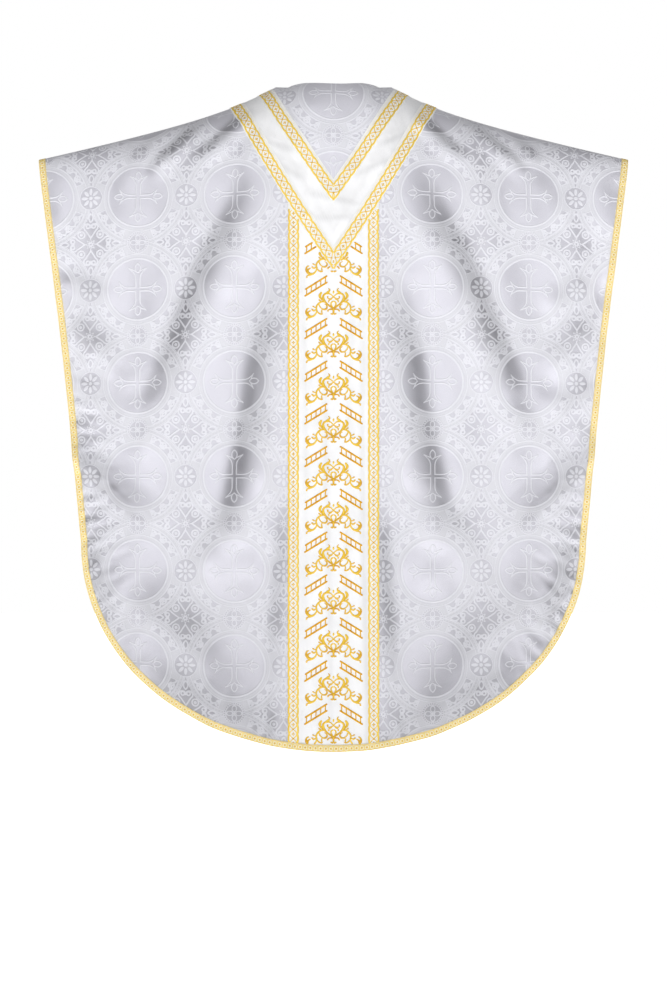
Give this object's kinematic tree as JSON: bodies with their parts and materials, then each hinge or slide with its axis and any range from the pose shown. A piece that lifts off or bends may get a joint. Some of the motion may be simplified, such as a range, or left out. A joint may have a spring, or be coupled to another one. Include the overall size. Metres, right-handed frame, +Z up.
{
  "type": "chasuble",
  "caption": "Wide sleeveless vestment of pale damask, open at the sides, with a satin V yoke and column, gold galloon and embroidered crests; the front panel swings from the shoulder seam.",
  "frame": {"origin": "middle of the neck opening at the height of the shoulder seam", "axes": "+X to the wearer's right, +Y the way the wearer faces, +Z up; the decorated back faces -Y"},
  "size_m": [1.144, 0.293, 1.2698],
  "materials": {
    "damask": "silvery lavender-white damask, satin figure on a matte ground",
    "lining": "plain off-white satin",
    "white_satin": "white satin",
    "gold_galloon": "woven galloon, gold on cream",
    "edge_galloon": "narrow woven galloon, cream and pale gold",
    "crest_thread": "glossy gold machine embroidery",
    "ladder_thread": "glossy orange-gold machine embroidery"
  },
  "bodies": {
    "back": {"back_shell": "damask", "back_lining": "lining", "back_column_orphrey": "white_satin", "back_yoke_orphrey": "white_satin", "back_column_galloon_left": "gold_galloon", "back_column_galloon_right": "gold_galloon", "back_yoke_inner_galloon": "gold_galloon", "back_yoke_outer_galloon": "gold_galloon", "back_edge_galloon": "edge_galloon", "back_crest_embroidery": "crest_thread", "back_ladder_embroidery": "ladder_thread"},
    "front": {"front_shell": "damask", "front_lining": "lining", "front_column_orphrey": "white_satin", "front_yoke_orphrey": "white_satin", "front_column_galloon_left": "gold_galloon", "front_column_galloon_right": "gold_galloon", "front_yoke_inner_galloon": "gold_galloon", "front_yoke_outer_galloon": "gold_galloon", "front_edge_galloon": "edge_galloon", "front_crest_embroidery": "crest_thread", "front_ladder_embroidery": "ladder_thread"}
  },
  "joints": [
    {"name": "front_swing", "type": "hinge", "parent": "back", "child": "front", "pos_m": [0, 0, 0.006], "axis": [1, 0, 0], "range_deg": [0, 30]}
  ]
}
